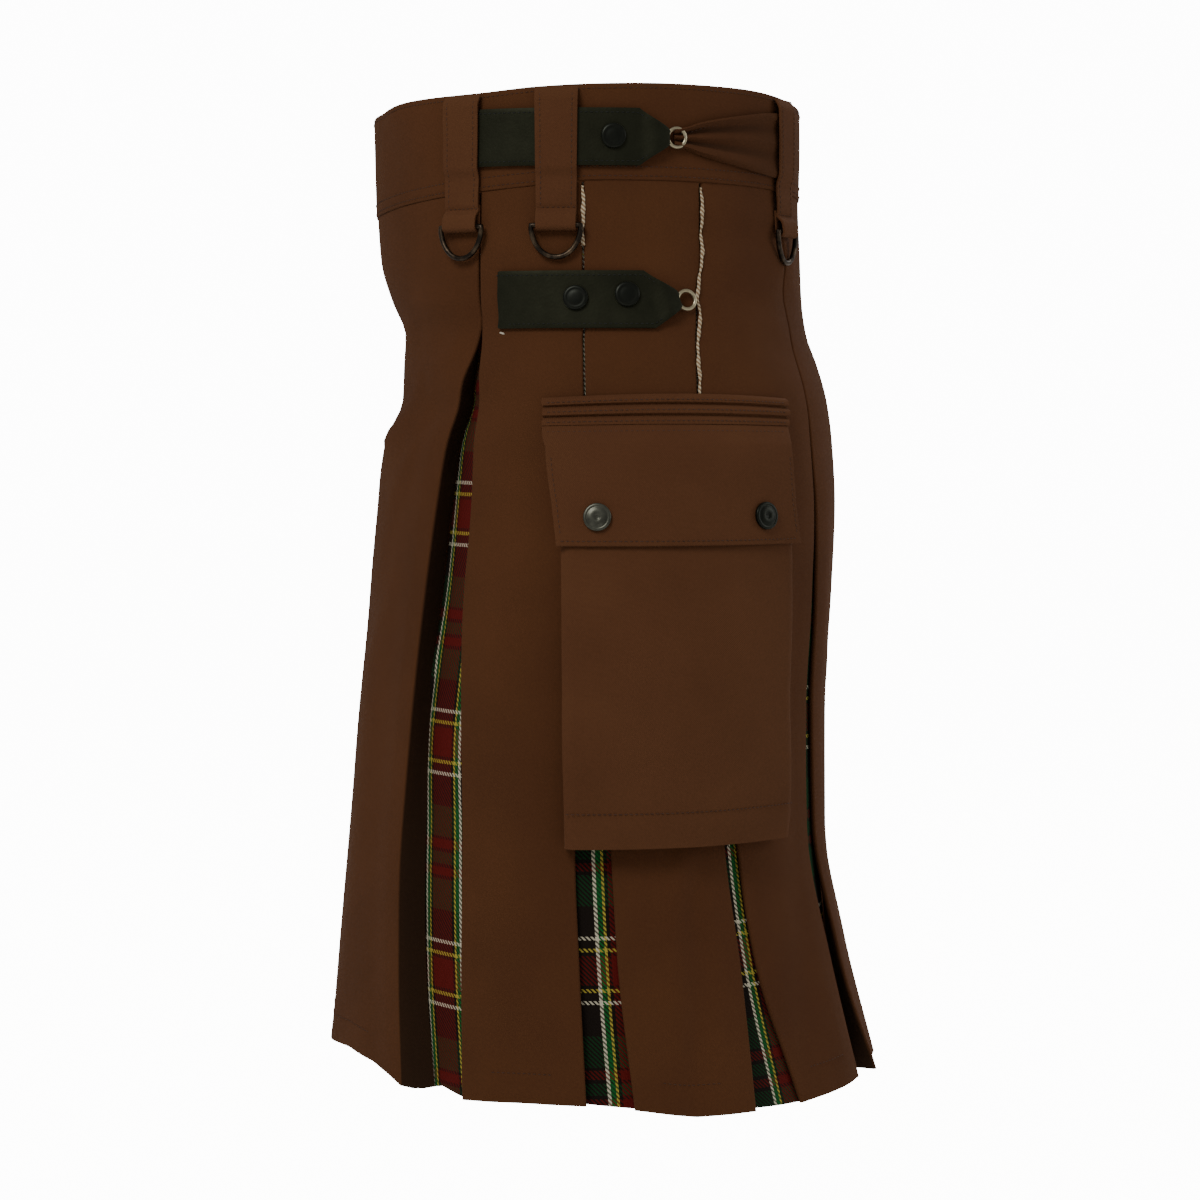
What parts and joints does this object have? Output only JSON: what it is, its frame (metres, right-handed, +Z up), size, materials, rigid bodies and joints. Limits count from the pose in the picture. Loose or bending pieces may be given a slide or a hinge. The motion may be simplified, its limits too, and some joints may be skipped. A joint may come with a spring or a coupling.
{
  "type": "utility kilt",
  "caption": "Knee-length utility kilt in brown twill with box pleats over checked inserts, cargo pockets, belt loops with swinging D-rings and leather side straps.",
  "frame": {"origin": "middle of the wearer's waist, half way up the waistband, where the waist holds the kilt", "axes": "+Z up along the standing wearer, front of the kilt towards -Y, the wearer's left towards +X"},
  "size_m": [0.4426, 0.3494, 0.608],
  "materials": {
    "twill": "matt cotton twill",
    "checked_cloth": "matt woven check",
    "hide": "grained, low sheen",
    "dark_metal": "dark bronze, satin",
    "pale_metal": "pale, slightly warm"
  },
  "bodies": {
    "garment": {"front_apron": "twill", "under_apron": "twill", "waistband": "twill", "pleat_panel_1_left": "twill", "pleat_panel_1_right": "twill", "pleat_panel_2_left": "twill", "pleat_panel_2_right": "twill", "pleat_panel_3_left": "twill", "pleat_panel_3_right": "twill", "pleat_panel_4_left": "twill", "pleat_panel_4_right": "twill", "insert_1_left": "checked_cloth", "insert_1_right": "checked_cloth", "insert_2_left": "checked_cloth", "insert_2_right": "checked_cloth", "insert_3_left": "checked_cloth", "insert_3_right": "checked_cloth", "insert_4_left": "checked_cloth", "insert_4_right": "checked_cloth", "insert_back": "checked_cloth", "belt_loop_front_left": "twill", "belt_loop_front_right": "twill", "belt_loop_side_left": "twill", "belt_loop_side_right": "twill", "belt_loop_rear_left": "twill", "belt_loop_rear_right": "twill", "side_tab_left": "twill", "side_tab_right": "twill", "pocket_heading_left": "twill", "pocket_heading_right": "twill", "pocket_flap_left": "twill", "pocket_flap_right": "twill", "pocket_bag_left": "twill", "pocket_bag_right": "twill", "snap_upper_left": "dark_metal", "snap_upper_right": "dark_metal", "snap_lower_front_left": "dark_metal", "snap_lower_front_right": "dark_metal", "snap_lower_rear_left": "dark_metal", "snap_lower_rear_right": "dark_metal", "flap_snap_front_left": "dark_metal", "flap_snap_front_right": "dark_metal", "flap_snap_rear_left": "dark_metal", "flap_snap_rear_right": "dark_metal", "strap_upper_left": "hide", "strap_upper_right": "hide", "strap_lower_left": "hide", "strap_lower_right": "hide", "strap_ring_upper_left": "pale_metal", "strap_ring_upper_right": "pale_metal", "strap_ring_lower_left": "pale_metal", "strap_ring_lower_right": "pale_metal"},
    "ring_front_left": {"d_ring_front_left": "dark_metal"},
    "ring_front_right": {"d_ring_front_right": "dark_metal"},
    "ring_side_left": {"d_ring_side_left": "dark_metal"},
    "ring_side_right": {"d_ring_side_right": "dark_metal"},
    "ring_rear_left": {"d_ring_rear_left": "dark_metal"},
    "ring_rear_right": {"d_ring_rear_right": "dark_metal"}
  },
  "joints": [
    {"name": "front_left_ring_swing", "type": "hinge", "parent": "garment", "child": "ring_front_left", "pos_m": [0.14009, -0.07544, -0.056], "axis": [-0.5589, -0.8292, 0], "range_deg": [0, 150]},
    {"name": "front_right_ring_swing", "type": "hinge", "parent": "garment", "child": "ring_front_right", "pos_m": [-0.14009, -0.07544, -0.056], "axis": [-0.5589, 0.8292, 0], "range_deg": [0, 150]},
    {"name": "side_left_ring_swing", "type": "hinge", "parent": "garment", "child": "ring_side_left", "pos_m": [0.1615, -0.01855, -0.056], "axis": [-0.1074, -0.9942, 0], "range_deg": [0, 150]},
    {"name": "side_right_ring_swing", "type": "hinge", "parent": "garment", "child": "ring_side_right", "pos_m": [-0.1615, -0.01855, -0.056], "axis": [-0.1074, 0.9942, 0], "range_deg": [0, 150]},
    {"name": "rear_left_ring_swing", "type": "hinge", "parent": "garment", "child": "ring_rear_left", "pos_m": [0.08441, 0.12327, -0.056], "axis": [0.9102, -0.4142, 0], "range_deg": [0, 150]},
    {"name": "rear_right_ring_swing", "type": "hinge", "parent": "garment", "child": "ring_rear_right", "pos_m": [-0.08441, 0.12327, -0.056], "axis": [0.9102, 0.4142, 0], "range_deg": [0, 150]}
  ]
}
